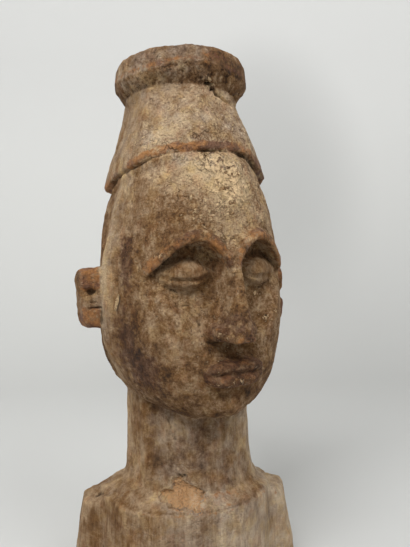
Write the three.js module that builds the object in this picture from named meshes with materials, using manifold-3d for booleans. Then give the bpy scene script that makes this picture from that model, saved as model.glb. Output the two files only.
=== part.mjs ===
// A carved wooden bust, cut from one billet: block shoulders, a thick neck, an oval head with
// block ears, and a bell-shaped cap that flares into a rim at the top.
// Millimetres, +Z up, the face looks along -Y, and the figure's right side is at -X.
// The origin is on the axis of the neck, on the flat underside.
import * as THREE from "three";
import { mergeVertices } from "three/addons/utils/BufferGeometryUtils.js";
import Module from "manifold-3d";

const wasm = await Module();
wasm.setup();

// Driving dimensions of the shoulders, which are turned from the face and set a little to a side
const torsoTurn = THREE.MathUtils.degToRad(-18);
const torsoShift = -1.7;
const shoulderWidth = 68.4;
const baseWidth = 78;
const chestWidth = 57;
const chestReach = 26.3;
const backReach = 24;
const chestFlare = 1.06;
const chestBoxiness = 2.2;
const collarHeight = 36;
const collarSlope = 0.51;
const collarBackDrop = 13;
const armDepth = 20;
const armRidge = 38.6;
const armSlope = 0.42;
const armFrontDrop = 2.2;
const armBackDrop = 6.5;
const armBuried = 14;
const armTaper = 1.3;
const armBoxiness = 3;

// Driving dimensions of the neck
const neckFoot = 38.6;
const neckFootRadius = 21.8;
const neckTopRadius = 20.3;
const neckTop = 84;
const neckBuried = 18;
const neckFootFlare = 0.6;
const neckWaistRise = 9;
const neckWaistShare = 0.65;
const neckTopRise = 20;

// Driving dimensions of the head
const chinHeight = 62;
const widestHeight = 97;
const crownHeight = 159;
const headWidth = 58;
const faceReach = 34;
const napeReach = 22;
const headBoxiness = 2.2;
const swellAbove = { side: 2.2, face: 2.3, nape: 2.8 };
const swellBelow = { side: 2.5, face: 4.4, nape: 2.8 };

// Driving dimensions of the cap and of the rim on it
const capEdgeHeight = 135.5;
const capEdgeRise = 8.3;
const capEdgeTurn = THREE.MathUtils.degToRad(8);
const capTop = 161;
const capWaistRadius = 17.8;
const capFullRadius = 25.8;
const capFullDrop = 31.5;
const capShift = 2.3;
const capOffset = 0.5;
const rimFoot = 157.5;
const rimFootRadius = 16.6;
const rimEdgeRadius = 21.4;
const rimEdgeHeight = 167.4;
const rimEdgeThickness = 1.4;
const rimEdgeBevel = 0.4;
const rimTopRadius = 18;
const rimTopHeight = 172.8;
const rimCrown = 173.6;

// The rim and the waist under it are tipped: the front is raised, and the figure's left side is low
const rimTilt = THREE.MathUtils.degToRad(8.5);
const rimLean = THREE.MathUtils.degToRad(3.5);

// Proportions of the face: three equal thirds from the cap's edge to the chin, five eyes across
const hairline = capEdgeHeight + capEdgeRise;
const third = (hairline - chinHeight) / 3;
const browHeight = chinHeight + 2 * third;
const noseHeight = chinHeight + third;
const mouthHeight = noseHeight - third / 3;
const eyeWidth = headWidth / 5;
const eyeHeight = browHeight - third / 4;

// Driving dimensions of the ears, which hand carving left a little unlike each other
const rightEar = { reach: 37.3, height: 18.6, middle: 100.3 };
const leftEar = { reach: 35.4, height: 20, middle: 97.4 };
const earThickness = 7.2;
const earSetForward = 3;
const earSunk = 4;
const earRoundness = 0.5;

const wood = new THREE.MeshStandardMaterial({
  color: new THREE.Color(0.36, 0.26, 0.18),
  roughness: 0.85,
  metalness: 0,
});

const smooth = (t) => THREE.MathUtils.smoothstep(t, 0, 1);

// Swell of a rounded form, from 1 at its widest to 0 at its end: a higher power is boxier.
function swell(t, power) {
  return Math.pow(Math.max(0, 1 - Math.pow(Math.abs(t), power)), 1 / power);
}

// Reach of a superellipse section from its centre in a direction, where angle 0 is the front.
function sectionReach(span, angle, boxiness) {
  const front = Math.cos(angle) > 0 ? span.face : span.nape;
  const across = Math.abs(Math.sin(angle)) / span.side;
  const along = Math.abs(Math.cos(angle)) / front;
  return Math.pow(Math.pow(across, boxiness) + Math.pow(along, boxiness), -1 / boxiness);
}

// Point at a reach from the neck's axis, at a height, turned by an angle from the face.
function pointAt(reach, angle, height) {
  return new THREE.Vector3(reach * Math.sin(angle), -reach * Math.cos(angle), height);
}

// Turns a three.js geometry into a closed solid.
function solidOf(geometry) {
  const bare = geometry.clone();
  bare.deleteAttribute("normal");
  bare.deleteAttribute("uv");
  const merged = mergeVertices(bare, 1e-4);
  return new wasm.Manifold(
    new wasm.Mesh({
      numProp: 3,
      vertProperties: merged.attributes.position.array,
      triVerts: new Uint32Array(merged.index.array),
    }),
  );
}

// Moves every vertex of a geometry to where place(x, y, z) puts it, then makes it a solid.
function shaped(geometry, place) {
  const position = geometry.attributes.position;
  for (let i = 0; i < position.count; i++) {
    const p = place(position.getX(i), position.getY(i), position.getZ(i));
    position.setXYZ(i, p.x, p.y, p.z);
  }
  return solidOf(geometry);
}

// A unit cylinder that stands along +Z from 0 to 1, shaped by place(angle, reach, level).
function shapedColumn(sides, rows, place) {
  const column = new THREE.CylinderGeometry(1, 1, 1, sides, rows).rotateX(Math.PI / 2);
  return shaped(column, (x, y, z) => place(Math.atan2(x, -y), Math.hypot(x, y), z + 0.5));
}

// A unit ball shaped by place(angle, reach, level), where level runs from -1 to 1.
function shapedBall(sides, rows, place) {
  const ball = new THREE.SphereGeometry(1, sides, rows).rotateX(Math.PI / 2);
  return shaped(ball, (x, y, z) => place(Math.atan2(x, -y), Math.hypot(x, y), z));
}

// A rounded block: a ball with its sides pushed out towards those of a box.
function block(centre, half, roundness, sides = 20, rows = 10) {
  const push = (v) => Math.sign(v) * Math.pow(Math.abs(v), roundness);
  const ball = new THREE.SphereGeometry(1, sides, rows).rotateX(Math.PI / 2);
  return shaped(ball, (x, y, z) =>
    new THREE.Vector3(push(x), push(y), push(z)).multiply(half).add(centre),
  );
}

// A turned form from [radius, height] pairs that start and end on the axis.
function turned(profile, sides) {
  const points = profile.map(([radius, height]) => new THREE.Vector2(radius, height));
  return solidOf(new THREE.LatheGeometry(points, sides).rotateX(Math.PI / 2));
}

function addAll(solids) {
  return solids.reduce((whole, solid) => whole.add(solid));
}

// The chest and back: a rounded column whose top slopes down from the neck to a collar edge.
function chest() {
  return shapedColumn(48, 3, (angle, reach, level) => {
    const flare = THREE.MathUtils.lerp(chestFlare, 1, level);
    const span = { side: (chestWidth / 2) * flare, face: chestReach * flare, nape: backReach * flare };
    const collar = collarHeight - collarBackDrop * Math.max(0, -Math.cos(angle));
    const top = reach < 0.5 ? collarHeight + collarSlope * chestReach : collar;
    return pointAt(reach * sectionReach(span, angle, chestBoxiness), angle, top * level);
  });
}

// An upper arm, held close to the body: its top slopes outwards and falls away to the back.
function arm(side) {
  return shapedColumn(28, 4, (angle, reach, level) => {
    const outer = THREE.MathUtils.lerp(baseWidth, shoulderWidth, Math.pow(level, armTaper)) / 2;
    const half = (outer - armBuried) / 2;
    const span = { side: half, face: armDepth / 2, nape: armDepth / 2 };
    const p = pointAt(reach * sectionReach(span, angle, armBoxiness), angle, 0);
    p.x += (side * (outer + armBuried)) / 2;
    const outwards = Math.abs(p.x) - neckFootRadius;
    const drop = p.y > 0 ? armBackDrop : armFrontDrop;
    p.z = level * (armRidge - armSlope * outwards - (drop * Math.abs(p.y)) / (armDepth / 2));
    return p;
  });
}

function shoulders() {
  const whole = addAll([chest(), arm(-1), arm(1)]);
  const turn = THREE.MathUtils.radToDeg(torsoTurn);
  return whole.translate([torsoShift, 0, 0]).rotate([0, 0, turn]);
}

function neck() {
  return turned(
    [
      [0, neckFoot - neckBuried],
      [neckFootRadius + neckFootFlare, neckFoot - neckBuried],
      [neckFootRadius, neckFoot],
      [THREE.MathUtils.lerp(neckFootRadius, neckTopRadius, neckWaistShare), neckFoot + neckWaistRise],
      [neckTopRadius, neckFoot + neckTopRise],
      [neckTopRadius, neckTop],
      [0, neckTop],
    ],
    36,
  );
}

// Half-extents of the head at a height: to each side, to the face and to the nape.
function headSpan(height) {
  const above = height > widestHeight;
  const end = above ? crownHeight : chinHeight;
  const t = (height - widestHeight) / (end - widestHeight);
  const power = above ? swellAbove : swellBelow;
  return {
    side: (headWidth / 2) * swell(t, power.side),
    face: faceReach * swell(t, power.face),
    nape: napeReach * swell(t, power.nape),
  };
}

// Where the front of the head lies at a sideways offset and a height.
function faceAt(x, height) {
  const span = headSpan(height);
  const across = Math.pow(Math.min(1, Math.abs(x) / span.side), headBoxiness);
  return -span.face * Math.pow(1 - across, 1 / headBoxiness);
}

function head() {
  return shapedBall(44, 24, (angle, reach, level) => {
    const rise = level > 0 ? crownHeight - widestHeight : widestHeight - chinHeight;
    const height = widestHeight + level * rise;
    const span = headSpan(height);
    if (reach < 1e-6) return pointAt(0, 0, height);
    return pointAt(sectionReach(span, angle, headBoxiness), angle, height);
  });
}

// Hollows that the eyes lie in, below the brows.
function eyeSockets() {
  const half = new THREE.Vector3(eyeWidth * 0.78, 3.2, third * 0.26);
  return addAll(
    [-1, 1].map((side) => {
      const x = side * eyeWidth * 1.02;
      const height = eyeHeight + third * 0.03;
      return block(new THREE.Vector3(x, faceAt(x, height) - 0.5, height), half, 1, 20, 10);
    }),
  );
}

// Closed lids: an almond across each socket.
function eyes() {
  const half = new THREE.Vector3(eyeWidth * 0.52, 2.4, third * 0.13);
  return addAll(
    [-1, 1].map((side) => {
      const x = side * eyeWidth;
      return block(new THREE.Vector3(x, faceAt(x, eyeHeight) + 1.9, eyeHeight), half, 1.1, 18, 8);
    }),
  );
}

// Raised brows: each runs from the root of the nose in an arch over its eye.
function brows() {
  const section = new THREE.Shape().absarc(0, 0, 1.9, 0, 2 * Math.PI);
  const inner = eyeWidth * 0.2;
  const outer = eyeWidth * 1.82;
  return addAll(
    [-1, 1].map((side) => {
      const points = [];
      for (let i = 0; i <= 12; i++) {
        const t = i / 12;
        const x = side * THREE.MathUtils.lerp(inner, outer, t);
        const arch = Math.sin(Math.PI * Math.pow(t, 0.85));
        const height = browHeight - third * 0.14 + third * 0.26 * arch;
        points.push(new THREE.Vector3(x, faceAt(x, height) + 0.4, height));
      }
      const path = new THREE.CatmullRomCurve3(points);
      const options = { steps: 14, curveSegments: 7, bevelEnabled: false, extrudePath: path };
      return solidOf(new THREE.ExtrudeGeometry(section, options));
    }),
  );
}

// A wedge of a nose, narrow at the root and flat below, that widens into a wing on each side.
function nose() {
  const bury = 3;
  const top = browHeight - third * 0.1;
  const ridge = shapedColumn(20, 7, (angle, reach, level) => {
    const halfWidth = THREE.MathUtils.lerp(eyeWidth * 0.48, eyeWidth * 0.24, smooth(level / 0.55));
    const proud = THREE.MathUtils.lerp(8.2, 1.6, Math.pow(level, 1.15));
    const height = noseHeight + level * (top - noseHeight);
    const forward = Math.cos(angle) > 0 ? proud + bury : bury;
    const lift = level < 1e-6 ? 1.2 * reach * Math.max(0, Math.cos(angle)) : 0;
    return new THREE.Vector3(
      reach * halfWidth * Math.sin(angle),
      faceAt(0, height) + bury - reach * forward * Math.cos(angle),
      height + lift,
    );
  });
  const wing = new THREE.Vector3(2.5, 4, 3);
  const wings = [-1, 1].map((side) => {
    const x = side * eyeWidth * 0.36;
    return block(new THREE.Vector3(x, faceAt(x, noseHeight) - 1.4, noseHeight + 3), wing, 0.8, 14, 8);
  });
  return addAll([ridge, ...wings]);
}

function chin() {
  const half = new THREE.Vector3(eyeWidth * 0.8, 5.5, third * 0.24);
  const height = (chinHeight + mouthHeight) / 2 - 1;
  return block(new THREE.Vector3(0, faceAt(0, height) + 4.5, height), half, 1, 18, 8);
}

// Two full lips that follow the curve of the face and meet at the mouth line.
function lips() {
  const lip = (height, halfWidth, halfHeight, proud) => {
    const half = new THREE.Vector3(halfWidth, proud + 1.5, halfHeight);
    const ball = new THREE.SphereGeometry(1, 20, 8).rotateX(Math.PI / 2);
    const push = (v) => Math.sign(v) * Math.pow(Math.abs(v), 0.75);
    return shaped(ball, (x, y, z) => {
      const p = new THREE.Vector3(push(x), push(y), push(z)).multiply(half);
      return new THREE.Vector3(p.x, p.y + faceAt(p.x, height) + 1.5, p.z + height);
    });
  };
  const halfWidth = eyeWidth * 0.78;
  return addAll([
    lip(mouthHeight + 1.85, halfWidth, 2.05, 2.1),
    lip(mouthHeight - 1.95, halfWidth * 0.9, 2.15, 2.0),
  ]);
}

// A block ear: hollowed from the front, slit below, and notched at its waist.
function ear(side, { reach, height, middle }) {
  const inner = headWidth / 2 - earSunk;
  const half = new THREE.Vector3((reach - inner) / 2, earThickness / 2, height / 2);
  const centre = new THREE.Vector3((side * (reach + inner)) / 2, -earSetForward, middle);
  const front = centre.y - half.y;
  const cut = (x, y, z, size) => block(new THREE.Vector3(x, y, z), new THREE.Vector3(...size), 0.8, 12, 6);
  const hollow = cut(centre.x + side * 0.9, front, middle + height * 0.14, [2.3, 2.2, 3]);
  const slit = cut(centre.x + side * 0.6, front, middle - height * 0.2, [2.6, 1.6, 1.1]);
  const waist = cut(side * (reach + 1), centre.y, middle, [2.1, earThickness, 2.4]);
  return block(centre, half, earRoundness, 20, 10).subtract(hollow).subtract(slit).subtract(waist);
}

// The cap's sideways radius at a drop below the waist under the rim, down to the full lower part.
function capRadius(drop) {
  const u = THREE.MathUtils.clamp(drop / capFullDrop, 0, 1);
  return capWaistRadius + (capFullRadius - capWaistRadius) * Math.pow(Math.sin((Math.PI / 2) * u), 1.2);
}

// A bell-shaped cap whose lower edge is high over the forehead and low at the nape.
function cap() {
  return shapedColumn(48, 8, (angle, reach, level) => {
    const edge = capEdgeHeight + capEdgeRise * Math.cos(angle + capEdgeTurn);
    const foot = reach < 0.5 ? capEdgeHeight : edge;
    const tip = Math.sin(rimTilt) * Math.cos(angle) - Math.sin(rimLean) * Math.sin(angle);
    const tipped = reach < 0.5 ? 0 : capWaistRadius * tip;
    const rise = level * (capTop + tipped - foot);
    const height = foot + rise;
    const drop = capTop + tipped - height;
    const radius = capRadius(drop);
    const shift = capShift * smooth(drop / (capFullDrop / 2));
    const span = { side: radius, face: radius + shift, nape: radius - shift };
    const p = pointAt(reach * sectionReach(span, angle, 2), angle, height);
    p.x += (capOffset * shift) / capShift;
    return p;
  });
}

// The rim that flares out of the cap's top.
function rim() {
  const upright = turned(
    [
      [0, rimFoot],
      [rimFootRadius, rimFoot],
      [capWaistRadius, capTop],
      [rimEdgeRadius - rimEdgeBevel, rimEdgeHeight - rimEdgeThickness],
      [rimEdgeRadius, rimEdgeHeight],
      [(rimEdgeRadius + rimTopRadius) / 2, rimTopHeight - rimEdgeThickness],
      [rimTopRadius, rimTopHeight],
      [rimTopRadius / 2, (rimTopHeight + 2 * rimCrown) / 3],
      [0, rimCrown],
    ],
    44,
  );
  const tilt = THREE.MathUtils.radToDeg(rimTilt);
  const lean = THREE.MathUtils.radToDeg(rimLean);
  return upright.translate([0, 0, -capTop]).rotate([-tilt, lean, 0]).translate([0, 0, capTop]);
}

function bust() {
  const face = head().subtract(eyeSockets());
  return addAll([
    shoulders(),
    neck(),
    face,
    eyes(),
    brows(),
    nose(),
    lips(),
    chin(),
    ear(-1, rightEar),
    ear(1, leftEar),
    cap(),
    rim(),
  ]);
}

// Makes a three.js mesh of a finished solid.
function meshOf(solid, name, material) {
  const { vertProperties, triVerts } = solid.getMesh();
  const geometry = new THREE.BufferGeometry();
  geometry.setAttribute("position", new THREE.BufferAttribute(new Float32Array(vertProperties), 3));
  geometry.setIndex(new THREE.BufferAttribute(new Uint32Array(triVerts), 1));
  geometry.computeVertexNormals();
  const mesh = new THREE.Mesh(geometry, material);
  mesh.name = name;
  return mesh;
}

const figure = new THREE.Group();
figure.name = "carved_wooden_bust";
figure.add(meshOf(bust(), "carved_bust", wood));

export default figure;
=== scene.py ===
# A carved wooden bust with a bell-shaped cap, made around its packed solid, on a pale stage.
# Properties are in metres. The carving functions work in millimetres.
import itertools
import math
from types import SimpleNamespace

import bpy
import numpy as np
from mathutils import Matrix, Vector


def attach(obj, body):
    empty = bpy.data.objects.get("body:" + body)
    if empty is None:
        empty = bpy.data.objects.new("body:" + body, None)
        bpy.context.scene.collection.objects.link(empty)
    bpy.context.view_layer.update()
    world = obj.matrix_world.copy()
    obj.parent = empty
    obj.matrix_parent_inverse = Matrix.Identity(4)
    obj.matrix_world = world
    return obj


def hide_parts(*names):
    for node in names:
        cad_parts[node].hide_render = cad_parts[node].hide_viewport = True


bl_info = {
    "name": "Carved wooden bust",
    "version": (1, 0, 0),
    "blender": (4, 5, 0),
    "location": "3D View > Sidebar > Bust",
    "description": "Carves a weathered wooden bust with a bell-shaped cap and sets a pale stage for it",
    "category": "Add Mesh",
}

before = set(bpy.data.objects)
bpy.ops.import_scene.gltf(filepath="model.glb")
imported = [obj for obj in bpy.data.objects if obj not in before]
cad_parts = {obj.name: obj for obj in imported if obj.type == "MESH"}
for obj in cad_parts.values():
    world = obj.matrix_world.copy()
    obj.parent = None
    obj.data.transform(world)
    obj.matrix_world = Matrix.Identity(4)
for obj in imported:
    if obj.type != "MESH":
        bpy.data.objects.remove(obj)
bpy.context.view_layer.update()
MM = 0.001


def length(name, description, default):
    return bpy.props.FloatProperty(
        name=name, description=description, default=default, precision=4, unit="LENGTH"
    )


def turn(name, description, degrees):
    return bpy.props.FloatProperty(
        name=name, description=description, default=math.radians(degrees), unit="ROTATION"
    )


def number(name, description, default):
    return bpy.props.FloatProperty(name=name, description=description, default=default)


def colour(name, description, default):
    return bpy.props.FloatVectorProperty(
        name=name, description=description, default=default, size=3, min=0, max=1, subtype="COLOR"
    )


class ShoulderSizes(bpy.types.PropertyGroup):
    """The chest and upper arms, which are turned from the face."""

    turned: turn("Turn", "Turn of the shoulders from the face, seen from above", -18)
    shift: length("Shift", "How far the shoulders stand to the right of the neck's axis", 0.0017)
    top_width: length("Top width", "Width over both arms at the top", 0.0684)
    base_width: length("Base width", "Width over both arms at the underside", 0.078)
    chest_width: length("Chest width", "Width of the chest between the arms", 0.057)
    chest_reach: length("Chest reach", "From the neck's axis to the front of the chest", 0.0263)
    back_reach: length("Back reach", "From the neck's axis to the back", 0.024)
    collar_height: length("Collar height", "Height of the collar's edge at the front", 0.036)
    collar_fall: length("Collar fall", "How much lower the collar's edge is at the back", 0.013)
    arm_depth: length("Arm depth", "Depth of an upper arm from front to back", 0.02)
    arm_ridge: length("Arm ridge", "Height of an arm's top where it meets the neck", 0.0386)


class NeckSizes(bpy.types.PropertyGroup):
    """The neck, a column with knife facets."""

    foot: length("Foot", "Height where the neck meets the collar", 0.0386)
    foot_radius: length("Foot radius", "Radius of the neck at its foot", 0.0218)
    top_radius: length("Top radius", "Radius of the neck under the head", 0.0203)


class HeadSizes(bpy.types.PropertyGroup):
    """The oval head and its ears."""

    chin: length("Chin height", "Height of the lowest point of the head", 0.062)
    widest: length("Widest height", "Height at which the head is widest", 0.097)
    crown: length("Crown height", "Height of the head's crown inside the cap", 0.159)
    width: length("Width", "Width of the head without its ears", 0.058)
    face_reach: length("Face reach", "From the neck's axis to the front of the face", 0.034)
    nape_reach: length("Nape reach", "From the neck's axis to the back of the head", 0.022)
    right_ear: length("Right ear reach", "From the axis to the outside of the right ear", 0.0373)
    left_ear: length("Left ear reach", "From the axis to the outside of the left ear", 0.0354)
    ear_back: length("Ear place", "How far behind the neck's axis the ears' middle is", -0.003)
    ear_thickness: length("Ear thickness", "Thickness of an ear from front to back", 0.0072)


class CapSizes(bpy.types.PropertyGroup):
    """The bell-shaped cap and the rim that flares from its top."""

    edge: length("Edge height", "Middle height of the cap's lower edge", 0.1355)
    edge_rise: length("Edge rise", "How much higher the lower edge is over the forehead", 0.0083)
    edge_turn: turn("Edge turn", "Turn of the lower edge's highest point to the right", 8)
    waist: length("Waist height", "Height of the waist under the rim", 0.161)
    waist_radius: length("Waist radius", "Radius of the waist under the rim", 0.0178)
    full_radius: length("Full radius", "Radius of the cap at its fullest", 0.0258)
    full_drop: length("Full drop", "From the waist down to the cap's fullest part", 0.0315)
    shift: length("Shift", "How far forward the lower cap stands", 0.0023)
    rim_radius: length("Rim radius", "Radius of the rim's worn edge", 0.0214)
    rim_rise: length("Rim rise", "From the waist up to the rim's worn edge", 0.0064)
    top_radius: length("Top radius", "Radius of the flat top", 0.018)
    top_rise: length("Top rise", "From the waist up to the flat top", 0.0118)
    tilt: turn("Tilt", "How far the rim's front is raised", 8.5)
    lean: turn("Lean", "How far the rim's left side is lowered", 3.5)


class CarvingDepths(bpy.types.PropertyGroup):
    """Fineness and depth of the knife work."""

    voxel: length("Voxel", "Fineness of the joined surface", 0.00046)
    facet_depth: length("Facet depth", "Depth of the hollows that the knife left", 0.0009)
    grain_depth: length("Grain depth", "Depth of the furrows along the grain", 0.00016)
    crust_height: length("Crust height", "Height of the dried crust on the forehead and cap", 0.0003)
    most_triangles: bpy.props.IntProperty(
        name="Most triangles", description="Triangles in the finished piece", default=188000
    )


class WoodColours(bpy.types.PropertyGroup):
    """Colours of the weathered wood, from the palest tone to the darkest, and of what lies on it."""

    cream: colour("Cream", "Dry crumbs on the surface", (0.64, 0.465, 0.27))
    tan: colour("Tan", "Dry wood on the cap", (0.46, 0.312, 0.182))
    fawn: colour("Fawn", "Wood of the chest", (0.33, 0.21, 0.114))
    brown: colour("Brown", "Handled wood of the face", (0.225, 0.118, 0.048))
    umber: colour("Umber", "Dark wood of the jaw", (0.125, 0.059, 0.021))
    # Black also paints the shade in the hollows and the cracks, along with their grime
    black: colour("Black", "Dirt in the pits", (0.044, 0.022, 0.009))
    stain: colour("Stain", "What purple-brown stains leave of the wood's colour", (0.4, 0.29, 0.27))
    ochre: colour("Ochre", "What ochre clouds leave of the wood's colour", (1.0, 0.93, 0.72))
    reddish: colour("Reddish", "What reddish clouds leave of the wood's colour", (0.95, 0.80, 0.72))
    crust: colour("Crust", "Ochre crust on the forehead", (0.84, 0.60, 0.34))
    worn: colour("Worn", "Orange wood on the rubbed edges", (0.42, 0.175, 0.048))
    rust: colour("Rust", "Red-brown wood on the rubbed edges", (0.15, 0.052, 0.024))
    raw: colour("Raw", "Fresh wood in the chip at the collar", (0.58, 0.32, 0.145))


class StageLook(bpy.types.PropertyGroup):
    """The pale floor, the camera and the lamps."""

    # The paper's colours paint shade on it: the far floor and the wall darker than the front, the right
    # side darker low down, and a soft shadow behind the cap
    floor_colour: colour("Floor", "Colour of the floor in front", (0.716, 0.721, 0.707))
    far_colour: colour("Far floor", "Colour of the floor behind the bust", (0.53, 0.533, 0.52))
    wall_colour: colour("Wall", "Colour of the wall", (0.573, 0.575, 0.566))
    side_shade: number("Side shade", "How pale the paper still is on the right, as a share", 0.8)
    soft_shadow: number("Soft shadow", "How pale the wall is in the soft shadow behind the cap", 0.79)
    floor_radius: length("Floor radius", "Radius of the flat part of the floor", 0.26)
    bowl_radius: length("Bowl radius", "Radius of the curve up to the wall", 0.34)
    camera_distance: length("Camera distance", "From the neck's axis to the camera", 0.186)
    camera_height: length("Camera height", "Height of the camera", 0.122)
    azimuth: turn("Azimuth", "Turn of the camera from the front, to the figure's right", -24)
    pitch: turn("Pitch", "How far the camera looks down", 5)
    yaw: turn("Yaw", "How far the camera looks past the axis", -2.15)
    roll: turn("Roll", "Roll of the camera", -1)
    lens: number("Lens", "Focal length in millimetres on a 36 mm sensor", 36.53)
    key: number("Key", "Power of the large lamp in watts", 27.5)
    fill: number("Fill", "Power of the lamp on the other side in watts", 8.0)
    sky: number("Sky", "Strength of the even light from all round", 0.4)


GROUPS = {
    "bust_shoulders": ShoulderSizes,
    "bust_neck": NeckSizes,
    "bust_head": HeadSizes,
    "bust_cap": CapSizes,
    "bust_carving": CarvingDepths,
    "bust_colours": WoodColours,
    "bust_stage": StageLook,
}


def sizes_of(key):
    """The numbers of a property group, with its lengths in millimetres."""
    group = getattr(bpy.context.scene, key)
    sizes = SimpleNamespace()
    for name, prop in group.bl_rna.properties.items():
        if prop.type in ("FLOAT", "INT"):
            value = getattr(group, name)
            setattr(sizes, name, value / MM if prop.unit == "LENGTH" else value)
    return sizes


# Numbers over arrays of points

HASH_FACTORS = (374761393, 668265263, 1440662683, 974634777)
HASH_MIXER = 1274126177
HASH_MASK = 0xFFFFFF


def ramp(value, low, high):
    """A smooth step from 0 at low to 1 at high."""
    t = np.clip((value - low) / (high - low), 0, 1)
    return t * t * (3 - 2 * t)


def mix(a, b, t):
    return a + (b - a) * t


def line(away, half, power=2):
    """1 on a line, falling softly to 0 beyond its half width."""
    return np.exp(-((away / half) ** power))


def swell(t, power):
    """Swell of a rounded form, from 1 at its widest to 0 at its end: a higher power is boxier."""
    return np.maximum(0, 1 - np.abs(t) ** power) ** (1 / power)


def hill(across, along=0.0):
    """A soft round rise that ends at a distance of 1."""
    return np.clip(1 - across**2 - along**2, 0, 1) ** 2


def hashed(cells, seed):
    """A repeatable random number from 0 to 1 for each whole-numbered cell."""
    i, j, k = (cells[:, axis].astype(np.int64) for axis in range(3))
    mixed = sum(whole * factor for whole, factor in zip((i, j, k, seed), HASH_FACTORS))
    mixed = (mixed ^ (mixed >> 13)) * HASH_MIXER
    mixed = mixed ^ (mixed >> 16)
    return (mixed & HASH_MASK) / HASH_MASK


def clouds(points, size, seed):
    """Smooth noise from -1 to 1 that changes over a size in millimetres, or over one for each axis."""
    places = points / np.array(size) + seed * 0.37
    cells = np.floor(places)
    t = places - cells
    t = t * t * (3 - 2 * t)
    total = np.zeros(len(points))
    for corner in itertools.product((0, 1), repeat=3):
        share = np.prod(np.where(corner, t, 1 - t), axis=1)
        total += share * hashed(cells + corner, seed)
    return 2 * total - 1


def rough(points, size, seed, octaves=3):
    """Noise with finer noise on it."""
    total = np.zeros(len(points))
    for octave in range(octaves):
        total += clouds(points, np.array(size) / 2**octave, seed + octave) / 2**octave
    return total / (2 - 2 ** (1 - octaves))


def cuts(points, size, seed):
    """Distance to the nearest of scattered points, one in each cell, as a share of a cell."""
    places = points / np.array(size)
    cells = np.floor(places)
    nearest = np.full(len(points), np.inf)
    for shift in itertools.product((-1, 0, 1), repeat=3):
        cell = cells + shift
        spot = cell + np.stack([hashed(cell, seed + axis) for axis in range(3)], axis=1)
        nearest = np.minimum(nearest, np.linalg.norm(places - spot, axis=1))
    return nearest


def section(side, face, nape, angle, boxiness):
    """Reach of a superellipse from its centre at an angle, where angle 0 is the front."""
    front = np.where(np.cos(angle) > 0, face, nape)
    across = np.abs(np.sin(angle)) / side
    ahead = np.abs(np.cos(angle)) / front
    return (across**boxiness + ahead**boxiness) ** (-1 / boxiness)


def planed(angle, corners, cut):
    """Share of a round form's radius that flat cuts leave between corners, given in degrees."""
    degrees = np.degrees(angle) % 360
    edges = np.sort(np.array(corners, float) % 360)
    edges = np.append(edges, edges[0] + 360)
    degrees = np.where(degrees < edges[0], degrees + 360, degrees)
    place = np.clip(np.searchsorted(edges, degrees, side="right") - 1, 0, len(corners) - 1)
    middle = (edges[place] + edges[place + 1]) / 2
    half = (edges[place + 1] - edges[place]) / 2
    flat = np.cos(np.radians(half)) / np.cos(np.radians(degrees - middle))
    return 1 - cut * (1 - flat)


def along(profile, share):
    """Radius and height at a share of the way along a profile, from its foot on the axis."""
    corners = np.array(profile, float)
    steps = np.linalg.norm(np.diff(corners, axis=0), axis=1)
    way = np.concatenate([[0], np.cumsum(steps)]) / steps.sum()
    return np.interp(share, way, corners[:, 0]), np.interp(share, way, corners[:, 1])


def moved(path, degrees, up):
    """A path of corners, each degrees from the face and a height, moved round and up."""
    return [(a + degrees, z + up) for a, z in path]


# Points of a mesh

def read_points(piece):
    points = np.zeros(len(piece.data.vertices) * 3)
    piece.data.vertices.foreach_get("co", points)
    return points.reshape(-1, 3)


def write_points(piece, points):
    piece.data.vertices.foreach_set("co", np.ascontiguousarray(points, np.float32).ravel())
    piece.data.update()


def ball(sides, rings):
    """Adds a ball, and gives the angle from the face, the way up and the level of its points."""
    bpy.ops.object.select_all(action="DESELECT")
    bpy.ops.mesh.primitive_uv_sphere_add(segments=sides, ring_count=rings, radius=1)
    piece = bpy.context.object
    x, y, z = read_points(piece).T
    level = np.clip(z, -1, 1)
    return piece, np.arctan2(x, -y), 1 - np.arccos(level) / np.pi, level


def place(piece, x, y, z):
    """Puts the points of a piece where millimetre arrays say, and gives the piece back."""
    write_points(piece, np.stack(np.broadcast_arrays(x, y, z), axis=1) * MM)
    return piece


def apply(piece, kind, **settings):
    """Adds a modifier, sets it and applies it."""
    bpy.context.view_layer.objects.active = piece
    piece.select_set(True)
    bpy.ops.object.modifier_add(type=kind)
    modifier = piece.modifiers[-1]
    for key, value in settings.items():
        setattr(modifier, key, value)
    bpy.ops.object.modifier_apply(modifier=modifier.name)


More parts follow.
